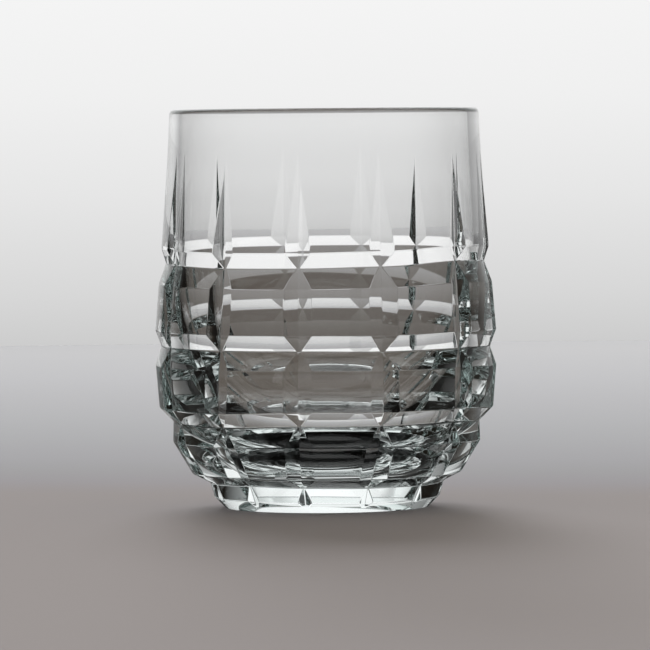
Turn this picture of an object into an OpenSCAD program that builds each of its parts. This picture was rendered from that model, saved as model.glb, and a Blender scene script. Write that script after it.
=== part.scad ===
// Cut-glass whiskey tumbler, empty: a barrel of clear glass on a thick base. Four mitre cuts
// run round it and twelve run up it, and between them they leave rows of raised blocks.
// Millimetres, +Z up. The origin is the middle of the base, and a column of blocks faces -Y.

/* [Outside] */
// Height from the base to the lip
height = 98; // [90:0.5:115]
// Outside diameter at the lip, before the lip is rounded
lip_d = 76; // [74:0.2:77]
// Diameter of the uncut glass at the tips of the upright cuts
tip_d = 77.2; // [77:0.2:79.6]
// Diameter of the uncut glass at ring 1, under the plain band
shoulder_d = 81.2; // [80:0.2:90]
// Diameter of the uncut glass at ring 2, the widest place
belly_d = 84.6; // [82:0.2:92]
// Diameter of the uncut glass at ring 3
waist_d = 81.6; // [77:0.2:86]
// Diameter of the uncut glass at ring 4, above the foot
heel_d = 63.6; // [60:0.2:72]
// Diameter of the foot at ring 4
foot_d = 57.6; // [56.2:0.2:58]
// Diameter of the foot where its bevel starts
foot_edge_d = 55.4; // [52:0.2:55.8]
// Diameter of the flat that the tumbler stands on
base_d = 50; // [40:0.2:51]
// Height of the bevel under the foot
foot_bevel = 2.5; // [1:0.1:3]

/* [Bowl] */
// Thickness of the glass at the lip
lip_wall = 2.7; // [2.2:0.1:4]
// Radius that rounds the lip, inside and outside
lip_round = 1.1; // [0.3:0.1:1.1]
// Least thickness of the glass between the bowl and the cuts round its wall
side_glass = 2.4; // [1.2:0.1:4]
// Height from the lip down to where the wall of the bowl becomes upright
lip_lean = 36; // [5:0.5:38]
// Thickness of the glass under the bowl
base_wall = 13; // [10:0.5:20]
// Height of the rounding between the upright wall and the floor of the bowl
bowl_rise = 46; // [30:0.5:50]
// Diameter of the flat floor of the bowl
bowl_floor_d = 20; // [6:0.5:30]

/* [Rings] */
// Height of ring 1, the highest cut
ring_1_h = 59.5; // [56:0.1:62]
// Height of ring 2
ring_2_h = 39.3; // [36:0.1:42]
// Height of ring 3
ring_3_h = 20.7; // [18:0.1:23]
// Height of ring 4, the lowest cut
ring_4_h = 6; // [5:0.1:7.5]
// Depth of ring 1 under the uncut glass
ring_1_cut = 1.4; // [0.6:0.1:2]
// Depth of ring 2 under the uncut glass
ring_2_cut = 1.8; // [1:0.1:2.6]
// Depth of ring 3 under the uncut glass
ring_3_cut = 3.1; // [2:0.1:4]
// Depth of ring 4 under the uncut glass
ring_4_cut = 3; // [2.8:0.1:4]
// Height of each wall of ring 1
ring_1_wall = 4.4; // [2:0.1:5]
// Height of each wall of ring 2
ring_2_wall = 4.4; // [2:0.1:5]
// Height of each wall of ring 3
ring_3_wall = 4.3; // [2:0.1:5]
// Height of each wall of ring 4
ring_4_wall = 2; // [1:0.1:2.2]

/* [Upright cuts] */
// Number of upright cuts
cuts = 12; // [8:1:14]
// Angle between the two walls of an upright cut
cut_angle = 145; // [135:1:155]
// Plain band from the lip down to the tips of the upright cuts
plain_band = 13; // [8:0.5:25]
// Depth of a cut where it meets ring 1 from above
flute_cut = 1.15; // [0.5:0.05:1.5]
// Depth of a cut beside the blocks
block_cut = 1.25; // [0.8:0.05:2]
// Depth of a cut at the lower edge of the foot
foot_cut = 0.65; // [0.4:0.05:1.2]
// How much deeper than a ring's bottom line an upright cut goes
cross_cut = 0.1; // [0.05:0.05:0.4]

/* [Hidden] */
$fn = 96;

glass_colour = [0.80, 0.87, 0.86, 0.55];
clear = 1;                          // how far a cutting shape passes the surface it cuts
mouth_r = lip_d / 2 - lip_wall;
cut_tilt = (180 - cut_angle) / 2;   // between a cut wall and the surface beside it
cut_reach = lip_d;                  // size of a cutting shape across the cut

// A point is [radius, height]. The uncut outside under the plain band, down to the heel.
cut_tip = [tip_d / 2, height - plain_band];
uncut = [
    cut_tip,
    [shoulder_d / 2, ring_1_h],
    [belly_d / 2, ring_2_h],
    [waist_d / 2, ring_3_h],
    [heel_d / 2, ring_4_h],
];
foot_top = [foot_d / 2, ring_4_h];
foot_edge = [foot_edge_d / 2, foot_bevel];

// The point at height h on the straight line through p and q.
function on_line(p, q, h) = p + (q - p) * (h - p.y) / (q.y - p.y);

// Ring i as three points: the lower edge of the face above, the bottom, and the upper edge of the face below.
ring_cut = [0, ring_1_cut, ring_2_cut, ring_3_cut, ring_4_cut];
ring_wall = [0, ring_1_wall, ring_2_wall, ring_3_wall, ring_4_wall];
function above_ring(i) = on_line(uncut[i - 1], uncut[i], uncut[i].y + ring_wall[i]);
function ring_bottom(i) = uncut[i] - [ring_cut[i], 0];
function below_ring(i) = i < 4 ? on_line(uncut[i], uncut[i + 1], uncut[i].y - ring_wall[i])
                               : on_line(foot_top, foot_edge, uncut[i].y - ring_wall[i]);

// The outside with its rings, from the lip down to the base.
outside = [
    [lip_d / 2, height],
    cut_tip,
    for (i = [1 : 4]) each [above_ring(i), ring_bottom(i), below_ring(i)],
    foot_edge,
    [base_d / 2, 0],
];

// The bottom line of an upright cut, from above the lip down to below the base. It bends just inside
// each ring's edges and just over its bottom line, so that no bend meets a corner of the rings.
edge_gap = 0.6;
bottom_gap = 0.2;
function in_by(p, depth) = p - [depth, 0];
function under_ring(i) = in_by(ring_bottom(i), cross_cut) + [0, bottom_gap];
flute_end = in_by(above_ring(1), flute_cut) - [0, edge_gap];
foot_end = in_by(foot_edge, foot_cut);
cut_line = [
    on_line(cut_tip, flute_end, height + clear),
    flute_end,
    for (i = [1 : 3]) each [
        under_ring(i),
        in_by(below_ring(i), block_cut) + [0, edge_gap],
        in_by(above_ring(i + 1), block_cut) - [0, edge_gap],
    ],
    under_ring(4),
    on_line(under_ring(4), foot_end, -clear),
];

// The blank, turned to its outline, with a rounded lip.
module blank() {
    rotate_extrude()
        difference() {
            polygon([[0, height], each outside, [0, 0]]);
            lip_corner(lip_d / 2, 1);
        }
}

// What a rounded edge takes off the lip at radius r; side is 1 on the outside and -1 on the inside.
module lip_corner(r, side) {
    translate([r - side * lip_round, height - lip_round])
        difference() {
            translate([side > 0 ? 0 : -lip_round - clear, 0])
                square(lip_round + clear);
            circle(lip_round);
        }
}

// The bowl stays inside the flutes, ring 1 and ring 2, and its wall inside the flutes and the plain band.
bowl_r = min(flute_end.x, under_ring(1).x, under_ring(2).x) - side_glass;
wall_foot = base_wall + bowl_rise;
lean_h = max(height - lip_lean, wall_foot);
lean_r = min(bowl_r + side_glass,
             on_line(cut_tip, flute_end, lean_h).x,
             on_line(cut_tip, uncut[1], lean_h).x) - side_glass;
floor_r = bowl_floor_d / 2;

// The space inside: a wall that leans in towards the lip, over a deep rounding and a small flat floor.
module bowl() {
    rotate_extrude() {
        polygon([
            [0, wall_foot],
            [bowl_r, wall_foot],
            if (lean_h > wall_foot) [lean_r, lean_h],
            [mouth_r, height],
            [mouth_r, height + clear],
            [0, height + clear],
        ]);
        lip_corner(mouth_r, -1);
        intersection() {
            translate([floor_r, wall_foot])
                scale([bowl_r - floor_r, bowl_rise])
                    circle(1);
            translate([floor_r, base_wall])
                square([bowl_r - floor_r, bowl_rise]);
        }
        translate([0, base_wall])
            square([floor_r, bowl_rise]);
    }
}

// One upright cut on the +X side: the space outside of two tilted walls that meet along cut_line.
module upright_cut() {
    intersection() {
        cut_side(-1);
        cut_side(1);
    }
}

module cut_side(side) {
    far_r = lip_d * 2;
    rotate(side * cut_tilt)
        translate([0, cut_reach / 2, 0])
            rotate([90, 0, 0])
                linear_extrude(cut_reach)
                    polygon([
                        for (p = cut_line) [p.x * cos(cut_tilt), p.y],
                        [far_r, -clear],
                        [far_r, height + clear],
                    ]);
}

module tumbler() {
    color(glass_colour)
        difference() {
            blank();
            bowl();
            for (i = [0 : cuts - 1])
                rotate(-90 + (i + 0.5) * 360 / cuts)
                    upright_cut();
        }
}

tumbler();
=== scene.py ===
"""Looks of the cut-glass whiskey tumbler: one closed body of clear glass on a plain pale floor."""

from math import acos, cos, pi, radians, sin, tan

import bpy
import numpy as np
from mathutils import Matrix, Vector


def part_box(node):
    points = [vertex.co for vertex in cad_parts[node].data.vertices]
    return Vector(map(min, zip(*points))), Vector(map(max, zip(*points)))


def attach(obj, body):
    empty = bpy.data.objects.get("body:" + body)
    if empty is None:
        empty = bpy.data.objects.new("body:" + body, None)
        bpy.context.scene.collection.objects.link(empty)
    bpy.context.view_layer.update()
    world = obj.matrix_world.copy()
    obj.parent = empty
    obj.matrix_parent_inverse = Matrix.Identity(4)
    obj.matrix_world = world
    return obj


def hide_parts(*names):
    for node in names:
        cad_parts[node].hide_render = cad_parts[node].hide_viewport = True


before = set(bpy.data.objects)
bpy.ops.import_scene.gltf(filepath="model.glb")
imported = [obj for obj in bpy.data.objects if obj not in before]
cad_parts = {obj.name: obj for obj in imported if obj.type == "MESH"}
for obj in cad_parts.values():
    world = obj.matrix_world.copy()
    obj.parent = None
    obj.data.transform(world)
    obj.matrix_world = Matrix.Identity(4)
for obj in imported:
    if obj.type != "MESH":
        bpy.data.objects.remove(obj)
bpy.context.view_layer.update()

MM = 0.001               # a millimetre in metres

# ---------------------------------------------------------------- sizes of the glass, in millimetres
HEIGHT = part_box("tumbler")[1][2] / MM
LIP_R = 38.0
LIP_WALL = 2.7
LIP_ROUND = 1.1

# The uncut outside, as radius and height, from the tips of the upright cuts down to the heel, and the foot.
TIP = (38.6, 85.0)
SHOULDER = (40.6, 59.5)
BELLY = (42.3, 39.3)
WAIST = (40.8, 20.7)
HEEL = (31.8, 6.0)
FOOT_TOP = (28.8, 6.0)
FOOT_EDGE = (27.7, 2.5)
BASE = (25.0, 0.0)

# Each ring: depth under the uncut glass, and the height of its walls above and below its bottom line.
RINGS = ((1.4, 3.7, 5.0), (1.8, 3.9, 4.7), (3.1, 3.5, 4.9), (3.0, 2.1, 1.6))

CUTS = 12                # upright cuts
PITCH = 2 * pi / CUTS    # angle from one to the next
CUT_TILT = radians(17.5)    # between a wall of an upright cut and the surface beside it
FLUTE_CUT = 1.15         # depths of an upright cut: over ring 1, beside the blocks, and at the foot
BLOCK_CUT = 1.25
FOOT_CUT = 0.65
CROSS_CUT = 0.1          # how much deeper than a ring's bottom line it goes
CLEAR = 1.0              # how far its line passes the lip and the base

# Where polishing has softened the glass.
EDGE_SOFT = 0.22         # height over which the outline bends, above and below a corner
TIP_SOFT = 9.0           # the same where the upright cuts begin
VALLEY = 0.16            # half-width of the rounding at the bottom of an upright cut
CREST = 0.07             # blend of the edge between a cut wall and a face, as a depth

# The inside of the bowl, as radius and height from under the lip down to the edge of its flat floor.
BOWL = (
    (35.75, 84.0), (36.15, 76.0), (36.5, 69.0), (36.65, 65.0), (36.6, 61.0), (36.25, 50.0),
    (34.75, 40.0), (31.5, 31.0), (26.9, 23.0), (21.1, 17.0), (14.7, 14.0),
)
BASE_WALL = 13.0
BOWL_FLAT = 7.5

# Where the hand-cut lines stray from an even division: one row a ring, one column an upright cut
# from the one at the left of the front. Degrees round the glass, and millimetres of height.
TURN_STRAY = (
    (1.25, -0.3, -1.0, 2.5, 1.2, 0.0, 0.0, -5.2, -4.2, -2.0, 0.0, 0.6),
    (0.45, 0.0, -1.25, 1.95, 1.0, 0.0, 0.0, -5.2, -4.2, -2.0, 0.0, 0.2),
    (-2.5, -0.8, -0.55, 3.9, 2.0, 0.0, 0.0, -5.2, -4.2, -2.0, 0.0, -1.2),
    (-1.35, -2.05, -1.05, 1.1, 0.5, 0.0, 0.0, -5.2, -4.2, -2.0, 0.0, -0.7),
)
RISE_STRAY = (
    (0.15, 0.2, 0.5, 1.4, 0.9, 1.0, 1.2, 1.2, 1.2, 1.1, 0.95, 0.5),
    (0.45, 0.45, 0.2, 0.35, 0.2, 0.3, 0.5, 0.6, 0.7, 0.8, 0.9, 0.5),
    (0.3, 0.95, 0.85, 1.0, 0.4, 0.0, 0.0, 0.0, 0.3, 0.6, 0.9, 0.5),
    (0.5, 0.25, 0.05, 0.1, 0.4, 0.3, 0.0, 0.0, 0.0, 0.1, 0.3, 0.3),
)
STRAY_LEVELS = (SHOULDER[1], BELLY[1], WAIST[1], HEEL[1])
STRAY_LOW = HEEL[1]      # the strays of height fade out from here to the base
STRAY_HIGH = HEIGHT - 4  # and from ring 1 to here

# Spacing of the mesh.
FIRST_CUT = -pi / 2 + PITCH / 2
ACROSS_EDGE = (-1.5, -1.0, -0.5, 0.0, 0.5, 1.0, 1.5)    # rows or columns over an edge, in softnesses
ROW_STEP = 1.0           # height of a mesh row on a face
END_GAP = 0.15           # the rows beside an edge keep this far from the base and the lip
LEAST_CREASE = 0.5       # least half-width of a cut, which holds its columns
VALLEY_SHARE = 0.28      # most of that half-width that the valley takes, and the edge's softness
SOFT_SHARE = 0.35
PAST_VALLEY = 1.6        # where the wall of a cut starts, in valley half-widths
WALL_STEPS = 3           # columns on a wall of a cut
FACE_STEPS = 8           # columns from a cut's edge to the middle of a block
LIP_STEPS = 8
BOWL_STEPS = 6
SMALL_STEP = 1e-3        # height of the step that finds the surface's direction
SMALL_TURN = SMALL_STEP / 40    # and its angle
STRAIGHT_DOWN = -0.9999  # the flat base's faces point at least this much down, and lie this near the floor
ON_FLOOR = 1e-6


# ---------------------------------------------------------------- outlines
def on_line(p, q, h):
    """Radius and height of the point at height h on the line through p and q."""
    return (p[0] + (q[0] - p[0]) * (h - p[1]) / (q[1] - p[1]), h)


def in_by(p, depth):
    """The point a depth nearer to the axis."""
    return (p[0] - depth, p[1])


def outside_points():
    """Corners of the outline through the middle of a column of blocks, from the lip down."""
    uncut = [TIP, SHOULDER, BELLY, WAIST, HEEL]
    points = [(LIP_R, HEIGHT), TIP]
    for i, (depth, above, below) in enumerate(RINGS, start=1):
        radius, level = uncut[i]
        face = (uncut[i], uncut[i + 1]) if i < len(RINGS) else (FOOT_TOP, FOOT_EDGE)
        points.append(on_line(uncut[i - 1], uncut[i], level + above))
        points.append((radius - depth, level))
        points.append(on_line(face[0], face[1], level - below))
    return points + [FOOT_EDGE, BASE]


def cut_points(outside):
    """Corners of the bottom line of an upright cut, from above the lip down to below the base."""
    tip, flute_end = outside[1], in_by(outside[2], FLUTE_CUT)
    points = [on_line(tip, flute_end, HEIGHT + CLEAR), flute_end]
    for i in range(1, len(RINGS)):
        bottom, face_top, face_foot = outside[3 * i:3 * i + 3]
        points.append(in_by(bottom, CROSS_CUT))
        points.append(in_by(face_top, BLOCK_CUT))
        points.append(in_by(face_foot, BLOCK_CUT))
    foot_start = in_by(outside[3 * len(RINGS)], CROSS_CUT)
    foot_end = in_by(FOOT_EDGE, FOOT_CUT)
    return points + [foot_start, on_line(foot_start, foot_end, -CLEAR)]


def rounded_line(points):
    """A function of height through the given corners, each rounded over its softness above and below it."""
    corners = sorted(points, key=lambda p: p[1])
    r = np.array([p[0] for p in corners])
    h = np.array([p[1] for p in corners])
    slope = np.diff(r) / np.diff(h)

    def at(level):
        level = np.asarray(level, float)
        value = r[0] + slope[0] * (level - h[0])
        for k in range(1, len(slope)):
            soft = TIP_SOFT if corners[k] == TIP else EDGE_SOFT
            t = level - h[k]
            bend = np.where(t > soft, t, np.where(t < -soft, 0.0, (t + soft) ** 2 / (4 * soft)))
            value = value + (slope[k] - slope[k - 1]) * bend
        return value
    return at


OUTSIDE = outside_points()
CUT_LINE = cut_points(OUTSIDE)
outside_r = rounded_line(OUTSIDE)
cut_r = rounded_line(CUT_LINE)


# ---------------------------------------------------------------- the cut side
def smooth_min(a, b, k):
    """The smaller of a and b, blended where they differ by less than k."""
    h = np.maximum(k - np.abs(a - b), 0.0) / k
    return np.minimum(a, b) - h * h * k / 4


def side_radius(turn, level):
    """Outside radius at an angle from the nearest cut's middle, and a height."""
    bottom = cut_r(level)
    valley = VALLEY / bottom
    turn = np.abs(turn)
    turn = np.where(turn < valley, turn * turn / (2 * valley) + valley / 2, turn)
    wall = bottom * cos(CUT_TILT) / np.cos(turn + CUT_TILT)
    return smooth_min(outside_r(level), wall, CREST)


def stray(table, angle, level):
    """Smooth value over the outside of a table of strays."""
    at = ((angle + pi / 2) / PITCH + 1.5) % CUTS
    column = np.floor(at).astype(int)
    t = at - column
    t = t * t * (3 - 2 * t)
    rows = []
    for row in table:
        knots = np.array(row)
        rows.append(knots[column % CUTS] * (1 - t) + knots[(column + 1) % CUTS] * t)
    down = np.interp(-level, [-h for h in STRAY_LEVELS], range(len(rows)))
    upper = np.clip(np.floor(down), 0, len(rows) - 2)
    value = 0.0
    for n in range(len(rows) - 1):
        value = value + np.where(upper == n, rows[n] * (1 - down + n) + rows[n + 1] * (down - n), 0.0)
    return value


def side_point(angle, level):
    """Point on the outside for arrays of angle (about +Z from +X) and height."""
    turn = (angle - FIRST_CUT + PITCH / 2) % PITCH - PITCH / 2
    radius = side_radius(turn, level)
    level = level + 0 * angle
    moved = angle + np.radians(stray(TURN_STRAY, angle, level))
    fade = np.clip((STRAY_HIGH - level) / (STRAY_HIGH - SHOULDER[1]), 0, 1) * np.clip(level / STRAY_LOW, 0, 1)
    lifted = level + stray(RISE_STRAY, angle, level) * fade
    return np.stack([radius * np.cos(moved), radius * np.sin(moved), lifted], axis=-1)


def side_directions(angle, level):
    """Outward directions of the outside, from small steps round it and up it."""
    along = side_point(angle + SMALL_TURN, level) - side_point(angle - SMALL_TURN, level)
    up = side_point(angle, level + SMALL_STEP) - side_point(angle, level - SMALL_STEP)
    return np.cross(along, up)


def side_levels():
    """Heights of the mesh rows on the outside: close at every corner, and even on the faces."""
    top = HEIGHT - LIP_ROUND
    corners = sorted({round(h, 4) for r, h in OUTSIDE + CUT_LINE if 0 < h < top})
    near = {round(h + t * EDGE_SOFT, 4) for h in corners for t in ACROSS_EDGE}
    levels = [0.0] + sorted(h for h in near if END_GAP < h < top - END_GAP) + [top]
    rows = []
    for low, high in zip(levels, levels[1:]):
        steps = max(1, round((high - low) / ROW_STEP))
        rows += [low + (high - low) * k / steps for k in range(steps)]
    return np.array(rows + [top])


def sector_turns(level):
    """Angles of the mesh columns over half a pitch, from a cut's middle to a column's middle."""
    surface = float(outside_r(level))
    bottom = float(cut_r(level))
    crease = acos(min(1.0, bottom * cos(CUT_TILT) / surface)) - CUT_TILT if bottom < surface else 0.0
    crease = max(crease, LEAST_CREASE / surface)
    valley = min(VALLEY / surface, VALLEY_SHARE * crease)
    soft = min(CREST / tan(CUT_TILT) / surface, SOFT_SHARE * crease)
    wall_start = PAST_VALLEY * valley
    wall_end = crease + ACROSS_EDGE[0] * soft
    face_start = crease + ACROSS_EDGE[-1] * soft
    turns = [0.0, valley / 2, valley, wall_start]
    turns += [wall_start + (wall_end - wall_start) * k / WALL_STEPS for k in range(1, WALL_STEPS)]
    turns += [crease + soft * k for k in ACROSS_EDGE]
    turns += [face_start + (PITCH / 2 - face_start) * k / FACE_STEPS for k in range(1, FACE_STEPS + 1)]
    return turns


def ring_angles(level):
    """Angles of every mesh column round the glass at one height."""
    half = sector_turns(level)
    angles = []
    for k in range(CUTS):
        middle = FIRST_CUT + k * PITCH
        angles += [middle + t for t in half]
        angles += [middle + PITCH - t for t in reversed(half[1:-1])]
    return np.array(angles)


# ---------------------------------------------------------------- the lip and the bowl
def curve(corners, steps):
    """A smooth line through the corners: a centripetal Catmull-Rom spline."""
    p = [np.array(c, float) for c in corners]
    p = [2 * p[0] - p[1]] + p + [p[-1] * (2, 1) - p[-2] * (1, 0)]
    points = []
    for i in range(1, len(p) - 2):
        knots = [0.0]
        for k in range(i - 1, i + 2):
            knots.append(knots[-1] + max(np.linalg.norm(p[k + 1] - p[k]), 1e-6) ** 0.5)
        for j in range(steps):
            u = knots[1] + (knots[2] - knots[1]) * j / steps
            line = p[i - 1:i + 3]
            for reach in (1, 2):
                pairs = zip(line, line[1:], knots, knots[reach:])
                line = [between(a, b, start, end, u) for a, b, start, end in pairs]
            x, y = between(line[0], line[1], knots[1], knots[2], u)
            points.append((float(x), float(y)))
    return points + [tuple(p[-2])]


def between(a, b, start, end, u):
    """The point that is a at start and b at end, on the straight line through them."""
    return (end - u) / (end - start) * a + (u - start) / (end - start) * b


def inside_outline():
    """Outline from the lip's outer edge over the lip, down the wall and along the floor of the bowl."""
    top = HEIGHT - LIP_ROUND
    outer = LIP_R - LIP_ROUND
    mouth = LIP_R - LIP_WALL
    inner = mouth + LIP_ROUND
    quarter = [pi / 2 * k / LIP_STEPS for k in range(LIP_STEPS + 1)]
    points = [(outer + LIP_ROUND * cos(a), top + LIP_ROUND * sin(a)) for a in quarter[1:]]
    points += [(inner - LIP_ROUND * sin(a), top + LIP_ROUND * cos(a)) for a in quarter]
    bowl = ((mouth, top),) + BOWL + ((BOWL_FLAT, BASE_WALL), (0.0, BASE_WALL))
    return points + curve(bowl, BOWL_STEPS)[1:-1]


# ---------------------------------------------------------------- the glass body
def around(radius, height, angles):
    """Points round the axis at one radius and height."""
    return np.stack([radius * np.cos(angles), radius * np.sin(angles), height + 0 * angles], axis=-1)


def glass_rows():
    """Rings of points up the side, over the lip and down the bowl, and the surface's directions there."""
    levels = side_levels()
    columns = np.array([ring_angles(h) for h in levels])
    rows = list(side_point(columns, levels[:, None]))
    directions = list(side_directions(columns, levels[:, None]))
    lip_edge = (float(np.hypot(*rows[-1][0][:2])), levels[-1])
    line = [lip_edge] + inside_outline() + [(0.0, BASE_WALL)]
    for before, (r, z), after in zip(line, line[1:], line[2:]):
        rows.append(around(r, z, columns[-1]))
        directions.append(around(after[1] - before[1], before[0] - after[0], columns[-1]))
    return rows, directions


def glass_faces(rows, count):
    """Faces between the rings, and the fans that close the floor of the bowl and the base."""
    floor_middle = rows * count
    base_middle = floor_middle + 1
    faces = []
    for i in range(count):
        n = (i + 1) % count
        for start in range(0, (rows - 1) * count, count):
            faces.append((start + i, start + n, start + count + n, start + count + i))
        last = (rows - 1) * count
        faces.append((last + i, last + n, floor_middle))
        faces.append((n, i, base_middle))
    return faces


def make_glass():
    rows, directions = glass_rows()
    middles = np.array([[0, 0, BASE_WALL], [0, 0, 0]])
    points = np.concatenate(rows + [middles])
    mesh = bpy.data.meshes.new("tumbler_glass")
    mesh.from_pydata((points * MM).tolist(), [], glass_faces(len(rows), len(rows[0])))
    mesh.validate()
    mesh.shade_smooth()
    body = bpy.data.objects.new("cut_glass_body", mesh)
    bpy.context.collection.objects.link(body)
    set_directions(mesh, np.concatenate(directions + [np.array([[0, 0, 1.0], [0, 0, -1.0]])]))
    return body


def set_directions(mesh, directions):
    """Shades each corner of a face by the surface's true direction, and the flat base straight down."""
    directions = directions / np.linalg.norm(directions, axis=1, keepdims=True)
    points = np.zeros(len(mesh.loops), dtype=np.int32)
    mesh.loops.foreach_get("vertex_index", points)
    corners = directions[points]
    for face in mesh.polygons:
        if face.normal.z < STRAIGHT_DOWN and face.center.z < ON_FLOOR:
            corners[list(face.loop_indices)] = (0, 0, -1)
    mesh.normals_split_custom_set(corners.tolist())


# ---------------------------------------------------------------- material of the glass
GLASS_IOR = 1.55
GLASS_TINT = (0.72, 0.93, 0.90, 1)    # blue-green where the light's path through the glass is long
TINT_DENSITY = 3.5


def node(tree, kind, **settings):
    """A new node with the given settings."""
    new = tree.nodes.new(kind)
    for name, value in settings.items():
        setattr(new, name, value)
    return new


def empty_material(name):
    mat = bpy.data.materials.new(name)
    mat.use_nodes = True
    mat.node_tree.nodes.clear()
    return mat


def glass_material():
    mat = empty_material("clear_cut_glass")
    tree = mat.node_tree
    out = node(tree, "ShaderNodeOutputMaterial")
    shader = node(tree, "ShaderNodeBsdfPrincipled")
    shader.inputs["Base Color"].default_value = (1, 1, 1, 1)
    shader.inputs["Transmission Weight"].default_value = 1.0
    shader.inputs["Roughness"].default_value = 0.0
    shader.inputs["IOR"].default_value = GLASS_IOR
    tint = node(tree, "ShaderNodeVolumeAbsorption")
    tint.inputs["Color"].default_value = GLASS_TINT
    tint.inputs["Density"].default_value = TINT_DENSITY
    tree.links.new(shader.outputs["BSDF"], out.inputs["Surface"])
    tree.links.new(tint.outputs["Volume"], out.inputs["Volume"])
    return mat


# ---------------------------------------------------------------- tones of the stage, with painted light and shade
STAGE_R = 1.0            # of the round floor and the tent, in metres
STAGE_TOP = 1.2
STAGE_STEPS = 96
FLOOR_LEVEL = -0.0001    # just under the glass, so that the two faces don't meet
SWEEP_TURN = -15.8       # degrees that the floor's sweep of tone and painted light is turned about the glass
FILL = (0.52, 0.44, 0.32, 1)     # share of the stage's tones that lights the floor, and the shadow, warmly
WORLD_TONE = (0.5, 0.5, 0.5, 1)
FLOOR_ROUGHNESS = 0.7
FLOOR_GLOSS = 0.2
DARK = (0.010, 0.008, 0.006)     # what the glass mirrors of the unlit room
# painted shade of the floor about the glass, as the glass mirrors it
FLOOR_SHADE = (0.012, 0.009, 0.006)
ALL = (1, 1, 1, 1)
LESS_THAN_ONE = 0.5      # tells one mirroring or more from none

# Colour of the floor by distance behind the middle of the glass: a warm grey, with painted light that pales
# it to the backdrop.
FLOOR_TONES = (
    (-1.0, (0.266, 0.250, 0.260)),
    (0.045, (0.275, 0.260, 0.269)),
    (0.064, (0.275, 0.264, 0.281)),
    (0.096, (0.282, 0.280, 0.311)),
    (0.148, (0.300, 0.309, 0.339)),
    (0.194, (0.322, 0.331, 0.370)),
    (0.292, (0.357, 0.374, 0.413)),
    (0.403, (0.395, 0.415, 0.458)),
    (0.527, (0.433, 0.453, 0.501)),
    (0.672, (0.476, 0.499, 0.552)),
    (0.835, (0.516, 0.541, 0.594)),
    (1.0, (0.569, 0.593, 0.646)),
)
# The share of the floor's colour that the glass refracts, by the same distance: painted shade, darkest just
# behind the glass.
FLOOR_THROUGH = (
    (-1.0, 1.0),
    (-0.02, (0.80, 0.77, 0.71)),
    (0.03, (0.44, 0.41, 0.36)),
    (0.12, (0.47, 0.44, 0.39)),
    (0.21, (0.69, 0.66, 0.61)),
    (0.4, (0.90, 0.89, 0.87)),
    (1.0, 1.0),
)
# The share that the glass reflects inside, by the same distance: painted shade, near black in front of and
# under the glass, and about a third of the floor's tone farther behind.
FLOOR_MIRRORED = (
    (-1.0, FLOOR_SHADE),
    (0.04, FLOOR_SHADE),
    (0.08, (0.08, 0.064, 0.044)),
    (0.15, (0.30, 0.28, 0.24)),
    (0.4, 0.35),
    (1.0, 0.35),
)
# Brightness of the tent wall's glow by height in metres, darker towards the floor.
WALL_TONES = ((0.0, 0.607), (0.02, 0.68), (0.06, 0.79), (0.10, 0.87), (0.15, 0.915), (0.22, 1.0), (1.2, 1.0))
# The share of that tone that the glass refracts, by degrees from straight behind the glass towards +X:
# painted light and shade, darker to the -X side and brighter behind.
WALL_THROUGH = (
    (-180, 1.0), (-58, 1.0), (-48, 0.35), (-26, 0.35), (-17, 1.03), (-9, 1.08), (-4, 1.08),
    (2, 1.12), (10, 1.12), (16, 1.06), (24, 1.03), (180, 1.0),
)
# The share that the glass reflects inside, by the same angle: painted reflection, bright behind the glass and
# dark in front.
WALL_MIRRORED = (
    (-180, DARK), (-54, DARK), (-38, 0.42), (-22, 1.0), (22, 1.0), (30, 0.7), (45, 0.5), (60, 0.25),
    (85, DARK), (180, DARK),
)
# Tones of the tent's top by distance behind the glass, and the share that the glass reflects inside: painted
# light, brightest over the glass.
TOP_TONES = ((-1.0, 0.65), (-0.3, 0.65), (-0.1, 1.0), (0.3, 1.0), (0.5, 0.65), (1.0, 0.65))
TOP_MIRRORED = ((-1.0, 0.4), (-0.4, 0.45), (-0.2, 1.0), (0.2, 1.0), (0.45, 0.15), (1.0, 0.15))


def ramp(tree, value, stops, low, high):
    """Colours that follow a value from low to high through the given stops."""
    place = node(tree, "ShaderNodeMapRange")
    place.inputs["From Min"].default_value = low
    place.inputs["From Max"].default_value = high
    tree.links.new(value, place.inputs["Value"])
    colours = node(tree, "ShaderNodeValToRGB")
    tree.links.new(place.outputs["Result"], colours.inputs["Fac"])
    points = colours.color_ramp.elements
    while len(points) < len(stops):
        points.new(0.5)
    for point, (at, tone) in zip(points, stops):
        point.position = (at - low) / (high - low)
    for point, (at, tone) in zip(points, stops):
        point.color = (*tone, 1) if isinstance(tone, tuple) else (tone, tone, tone, 1)
    return colours.outputs["Color"]


def mixed(tree, share, first, second, how="MIX"):
    """The first colour mixed with the second by a share."""
    mix = node(tree, "ShaderNodeMix", data_type="RGBA", blend_type=how)
    sockets = {socket.identifier: socket for socket in mix.inputs}
    for name, value in (("Factor_Float", share), ("A_Color", first), ("B_Color", second)):
        socket = sockets[name]
        if isinstance(value, bpy.types.NodeSocket):
            tree.links.new(value, socket)
        else:
            socket.default_value = value
    return next(socket for socket in mix.outputs if socket.identifier == "Result_Color")


def as_seen(tree, full, through, mirrored):
    """The full colour for the eye, and shares of it through the glass and once the glass has mirrored it:
    painted light and shade that differ from what the eye sees.
    """
    path = node(tree, "ShaderNodeLightPath")
    bounced = node(tree, "ShaderNodeMath", operation="GREATER_THAN")
    bounced.inputs[1].default_value = LESS_THAN_ONE
    tree.links.new(path.outputs["Glossy Depth"], bounced.inputs[0])
    share = mixed(tree, bounced.outputs[0], through, mirrored)
    share = mixed(tree, path.outputs["Is Diffuse Ray"], share, FILL)
    share = mixed(tree, path.outputs["Is Camera Ray"], share, ALL)
    return mixed(tree, 1.0, full, share, "MULTIPLY")


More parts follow.
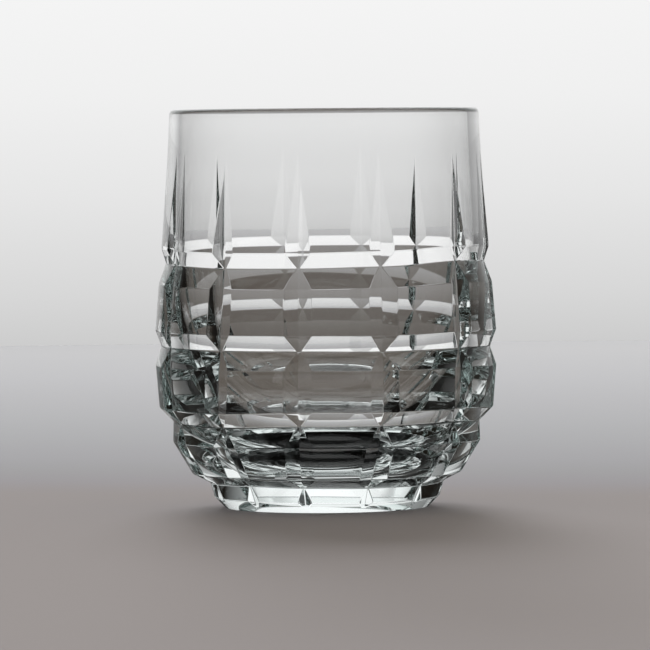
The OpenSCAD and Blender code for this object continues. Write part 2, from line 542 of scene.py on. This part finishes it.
# ---------------------------------------------------------------- floor
def floor_material():
    mat = bpy.data.materials.new("pale_floor")
    mat.use_nodes = True
    tree = mat.node_tree
    shader = tree.nodes["Principled BSDF"]
    shader.inputs["Roughness"].default_value = FLOOR_ROUGHNESS
    shader.inputs["Specular IOR Level"].default_value = FLOOR_GLOSS
    place = node(tree, "ShaderNodeTexCoord")
    split = node(tree, "ShaderNodeSeparateXYZ")
    tree.links.new(place.outputs["Object"], split.inputs[0])
    tables = (FLOOR_TONES, FLOOR_THROUGH, FLOOR_MIRRORED)
    tones = [ramp(tree, split.outputs["Y"], stops, -STAGE_R, STAGE_R) for stops in tables]
    tree.links.new(as_seen(tree, *tones), shader.inputs["Base Color"])
    return mat


def circle_points(level):
    turns = [2 * pi * k / STAGE_STEPS for k in range(STAGE_STEPS)]
    return [(STAGE_R * cos(t), STAGE_R * sin(t), level) for t in turns]


def make_floor():
    mesh = bpy.data.meshes.new("floor")
    mesh.from_pydata(circle_points(FLOOR_LEVEL), [], [tuple(range(STAGE_STEPS))])
    mesh.materials.append(floor_material())
    floor = bpy.data.objects.new("floor", mesh)
    bpy.context.collection.objects.link(floor)
    floor.rotation_euler.z = radians(SWEEP_TURN)


# ---------------------------------------------------------------- tent
def glow(tree, colour):
    """Glows with the colour on the inner side, as light, and shows nothing on the outer side."""
    out = node(tree, "ShaderNodeOutputMaterial")
    light = node(tree, "ShaderNodeEmission")
    clear = node(tree, "ShaderNodeBsdfTransparent")
    side = node(tree, "ShaderNodeNewGeometry")
    mix = node(tree, "ShaderNodeMixShader")
    tree.links.new(colour, light.inputs["Color"])
    tree.links.new(side.outputs["Backfacing"], mix.inputs["Fac"])
    tree.links.new(light.outputs["Emission"], mix.inputs[1])
    tree.links.new(clear.outputs["BSDF"], mix.inputs[2])
    tree.links.new(mix.outputs["Shader"], out.inputs["Surface"])


def stage_position(tree):
    place = node(tree, "ShaderNodeNewGeometry")
    split = node(tree, "ShaderNodeSeparateXYZ")
    tree.links.new(place.outputs["Position"], split.inputs[0])
    return split.outputs


def wall_material():
    mat = empty_material("tent_wall")
    tree = mat.node_tree
    place = stage_position(tree)
    angle = node(tree, "ShaderNodeMath", operation="ARCTAN2")
    tree.links.new(place["X"], angle.inputs[0])
    tree.links.new(place["Y"], angle.inputs[1])
    turn = node(tree, "ShaderNodeMath", operation="DEGREES")
    tree.links.new(angle.outputs[0], turn.inputs[0])
    full = ramp(tree, place["Z"], WALL_TONES, 0.0, STAGE_TOP)
    through = ramp(tree, turn.outputs[0], WALL_THROUGH, -180, 180)
    mirrored = ramp(tree, turn.outputs[0], WALL_MIRRORED, -180, 180)
    glow(tree, as_seen(tree, full, through, mirrored))
    return mat


def top_material():
    mat = empty_material("tent_top")
    tree = mat.node_tree
    place = stage_position(tree)
    full = ramp(tree, place["Y"], TOP_TONES, -STAGE_R, STAGE_R)
    mirrored = ramp(tree, place["Y"], TOP_MIRRORED, -STAGE_R, STAGE_R)
    glow(tree, as_seen(tree, full, ALL, mirrored))
    return mat


def make_tent():
    """A round studio tent about the glass, seen only from its inside, where it glows as the backdrop and the
    soft light round the glass.
    """
    faces = []
    for k in range(STAGE_STEPS):
        n = (k + 1) % STAGE_STEPS
        faces.append((n, k, STAGE_STEPS + k, STAGE_STEPS + n))
    faces.append(tuple(2 * STAGE_STEPS - 1 - k for k in range(STAGE_STEPS)))
    mesh = bpy.data.meshes.new("tent")
    mesh.from_pydata(circle_points(FLOOR_LEVEL) + circle_points(STAGE_TOP), [], faces)
    mesh.materials.append(wall_material())
    mesh.materials.append(top_material())
    mesh.polygons[STAGE_STEPS].material_index = 1
    tent = bpy.data.objects.new("tent", mesh)
    bpy.context.collection.objects.link(tent)
    tent.visible_shadow = False


def make_world():
    world = bpy.data.worlds.new("studio")
    bpy.context.scene.world = world
    world.use_nodes = True
    world.node_tree.nodes["Background"].inputs["Color"].default_value = WORLD_TONE


# ---------------------------------------------------------------- lamps and camera
# The soft lamps behind the glass: height over the floor and spread in degrees, and share of the light.
LAMPS = {
    "high_lamp": (38.0, 28.0, 0.40),
    "low_lamp": (12.0, 14.0, 0.17),
}
CAMERA_TURN = -5.8       # degrees round the glass from straight in front, towards -X
CAMERA_ROLL = 0.5        # degrees that the camera leans
CAMERA_AWAY = 1.533      # metres from the axis of the glass
CAMERA_HEIGHT = 0.1024
AIM_HEIGHT = 0.0447
CAMERA_SHIFT = -0.0011
LENS = 345
SENSOR = 36
CLIP_NEAR = 0.05
CLIP_FAR = 50
LIGHT_BOUNCES = 32       # enough for light that is mirrored many times in the base


def make_lamp(name, height, spread, share):
    """A parallel soft lamp behind the glass: it lights the floor and casts the glass's shadow forwards."""
    height = radians(height)
    data = bpy.data.lights.new(name, "SUN")
    data.angle = radians(spread)
    data.energy = share * pi / sin(height)
    lamp = bpy.data.objects.new(name, data)
    bpy.context.collection.objects.link(lamp)
    place = Vector((0, cos(height), sin(height)))
    facing = (-place).to_track_quat("-Z", "Y").to_matrix()
    lamp.matrix_world = Matrix.Translation(place) @ facing.to_4x4()
    lamp.visible_glossy = False
    lamp.visible_transmission = False


def make_camera():
    data = bpy.data.cameras.new("camera")
    data.lens = LENS
    data.sensor_width = SENSOR
    data.shift_x = CAMERA_SHIFT
    data.clip_start, data.clip_end = CLIP_NEAR, CLIP_FAR
    cam = bpy.data.objects.new("camera", data)
    bpy.context.collection.objects.link(cam)
    turn = radians(CAMERA_TURN)
    place = Vector((sin(turn) * CAMERA_AWAY, -cos(turn) * CAMERA_AWAY, CAMERA_HEIGHT))
    look = Vector((0, 0, AIM_HEIGHT)) - place
    facing = look.to_track_quat("-Z", "Y").to_matrix() @ Matrix.Rotation(radians(-CAMERA_ROLL), 3, "Z")
    cam.matrix_world = Matrix.Translation(place) @ facing.to_4x4()
    bpy.context.scene.camera = cam


# ---------------------------------------------------------------- the scene
glass = make_glass()
glass.data.materials.append(glass_material())
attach(glass, "root")
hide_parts("tumbler")
make_floor()
make_tent()
for lamp_name, lamp_values in LAMPS.items():
    make_lamp(lamp_name, *lamp_values)
make_world()
make_camera()

scene = bpy.context.scene
scene.view_settings.view_transform = "Standard"
scene.cycles.max_bounces = LIGHT_BOUNCES
scene.cycles.transmission_bounces = LIGHT_BOUNCES
scene.cycles.glossy_bounces = LIGHT_BOUNCES
